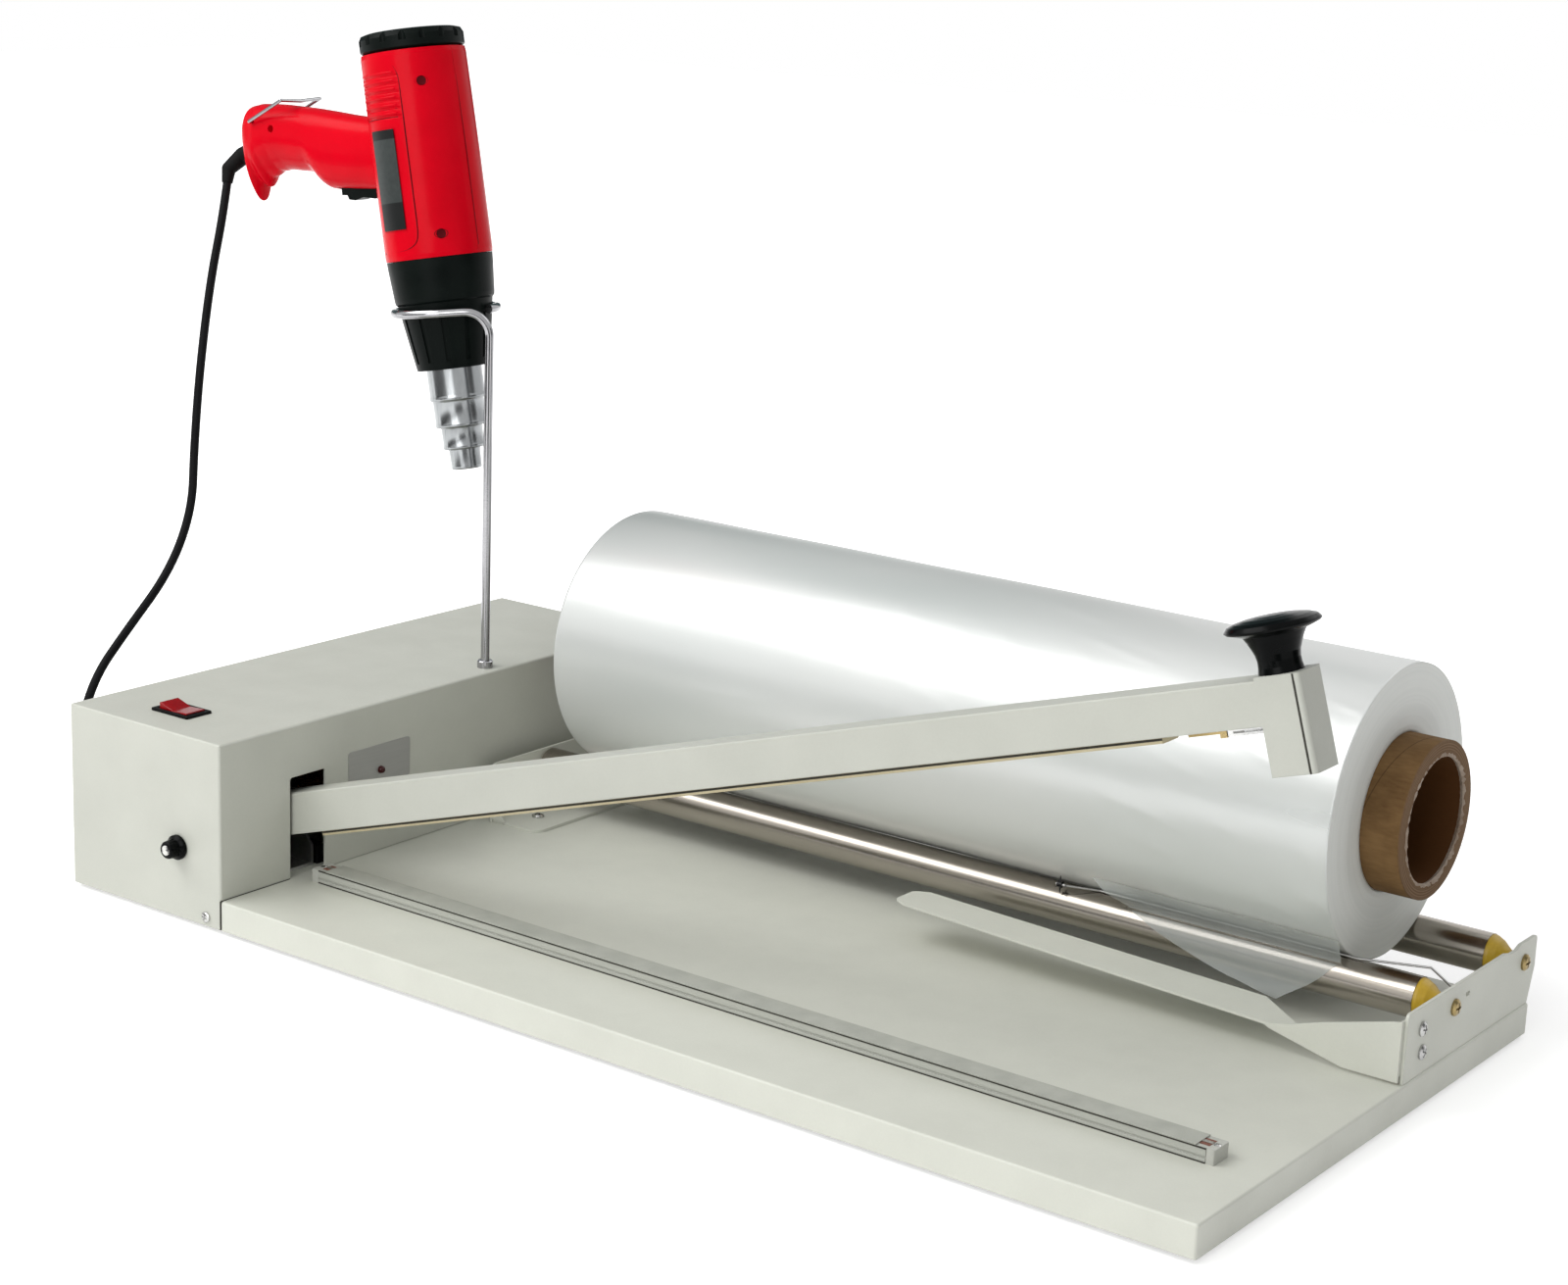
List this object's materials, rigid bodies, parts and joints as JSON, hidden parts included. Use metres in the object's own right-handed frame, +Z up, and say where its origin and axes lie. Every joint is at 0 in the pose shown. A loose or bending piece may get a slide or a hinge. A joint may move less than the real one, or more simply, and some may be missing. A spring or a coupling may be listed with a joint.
{
  "type": "i-bar sealer",
  "caption": "Bench i-bar shrink-film sealer: steel base with control housing, sprung sealing arm, rollers carrying a film roll, film separator and a hot-air gun hanging in a wire ring.",
  "frame": {"origin": "middle of the machine's footprint box (cord left out) on the surface it stands on", "axes": "+X to the right end of the base, away from the housing; +Y to the back, where the film roll lies; +Z up"},
  "size_m": [0.965, 0.4414, 0.5486],
  "materials": {
    "paint": "satin light grey",
    "zinc": "zinc plated",
    "screw_steel": "plated",
    "chrome_wire": "bright",
    "roller_steel": "polished",
    "brass": "turned",
    "aluminium": "anodised",
    "black_rubber": "matt",
    "red_silicone": "matt",
    "pad_silicone": "matt",
    "ribbon_steel": "bright",
    "tape": "coated weave",
    "white_plastic": "moulded",
    "black_plastic": "moulded",
    "black_gloss": "glossy",
    "pale_cap": "glossy",
    "lamp_red": "translucent",
    "winding": "varnished",
    "board": "lacquered",
    "yellow_plastic": "moulded",
    "film": "clear wound film",
    "cardboard": "paper",
    "dark_steel": "blackened",
    "gun_red": "glossy",
    "nozzle_steel": "spun",
    "dark_plate": "printed foil",
    "cord_black": "matt"
  },
  "bodies": {
    "base": {"base_pan": "paint", "underside_plate": "zinc", "feet": "black_rubber", "housing_cover": "paint", "cable_gland": "black_plastic", "rocker_bezel": "black_plastic", "potentiometer": "black_plastic", "lamp_plate": "aluminium", "lamp": "lamp_red", "transformer_core": "zinc", "transformer_coil": "winding", "timer_board": "board", "pivot_bracket": "zinc", "pivot_pin": "screw_steel", "pivot_washers": "white_plastic", "return_spring": "zinc", "arm_stop": "black_rubber", "microswitch": "black_plastic", "seal_rail": "aluminium", "rail_rubber": "red_silicone", "seal_ribbon": "ribbon_steel", "ribbon_cover": "tape", "rail_blocks": "white_plastic", "left_bracket": "paint", "right_bracket": "paint", "sheet_screws": "screw_steel", "axle_screws": "brass", "separator": "paint", "perforator_arm": "screw_steel", "stand_rod": "chrome_wire", "rod_collar": "chrome_wire", "cord_run": "cord_black", "cord_tail": "cord_black", "cord_coil": "cord_black", "cord_plug": "cord_black"},
    "sealing_arm": {"arm_channel": "paint", "arm_pad": "pad_silicone", "pad_clip": "brass", "pad_tensioner": "chrome_wire", "arm_knob": "black_gloss"},
    "switch_key": {"rocker_key": "lamp_red"},
    "timer_dial": {"timer_knob": "black_gloss", "timer_knob_cap": "pale_cap"},
    "roll": {"film_roll": "film", "film_core": "cardboard"},
    "roller_front": {"front_roller": "roller_steel", "front_roller_plugs": "yellow_plastic"},
    "roller_rear": {"rear_roller": "roller_steel", "rear_roller_plugs": "yellow_plastic"},
    "perforator": {"perforator_wheel": "dark_steel"},
    "heat_gun": {"gun_shell_near": "gun_red", "gun_shell_far": "gun_red", "gun_cap": "black_gloss", "gun_collar": "black_gloss", "gun_shroud": "black_plastic", "gun_nozzle": "nozzle_steel", "gun_relief": "black_rubber", "gun_side_plate": "dark_plate"},
    "trigger": {"gun_trigger": "black_gloss"},
    "hanger": {"gun_bail": "chrome_wire"}
  },
  "joints": [
    {"name": "arm_hinge", "type": "hinge", "parent": "base", "child": "sealing_arm", "pos_m": [-0.27554, -0.135, 0.049], "axis": [0, 1, 0], "range_deg": [0, 17.14], "stiffness_Nm_per_rad": 16, "springref_deg": -24.06, "deforming": ["return_spring"]},
    {"name": "switch_rock", "type": "hinge", "parent": "base", "child": "switch_key", "pos_m": [-0.29379, -0.17325, 0.122], "axis": [0, -1, 0], "range_deg": [0, 14]},
    {"name": "timer_turn", "type": "hinge", "parent": "base", "child": "timer_dial", "pos_m": [-0.25794, -0.209, 0.0495], "axis": [0, 1, 0], "range_deg": [0, 270]},
    {"name": "roll_spin", "type": "hinge", "parent": "base", "child": "roll", "pos_m": [0.11546, 0.13185, 0.13936], "axis": [1, 0, 0], "continuous": true},
    {"name": "front_roller_spin", "type": "hinge", "parent": "base", "child": "roller_front", "pos_m": [0.12146, 0.0834, 0.05], "axis": [1, 0, 0], "continuous": true},
    {"name": "rear_roller_spin", "type": "hinge", "parent": "base", "child": "roller_rear", "pos_m": [0.12146, 0.1803, 0.05], "axis": [1, 0, 0], "continuous": true},
    {"name": "perforator_spin", "type": "hinge", "parent": "base", "child": "perforator", "pos_m": [0.21346, 0.07311, 0.06501], "axis": [1, 0, 0], "continuous": true},
    {"name": "gun_lift", "type": "slide", "parent": "base", "child": "heat_gun", "axis": [-0.19, 0, 0.9818], "range_m": [0, 0.12]},
    {"name": "trigger_pull", "type": "slide", "parent": "heat_gun", "child": "trigger", "axis": [-0.19, 0, 0.9818], "range_m": [0, 0.0035], "stiffness_N_per_m": 600, "springref_m": -0.002},
    {"name": "hanger_swing", "type": "hinge", "parent": "heat_gun", "child": "hanger", "pos_m": [-0.44783, 0.0517, 0.47407], "axis": [0, -1, 0], "range_deg": [0, 120]}
  ],
  "couplings": [
    {"joint": "front_roller_spin", "follows": "roll_spin", "ratio": -7.108},
    {"joint": "rear_roller_spin", "follows": "roll_spin", "ratio": -7.108},
    {"joint": "perforator_spin", "follows": "roll_spin", "ratio": 15.588}
  ]
}
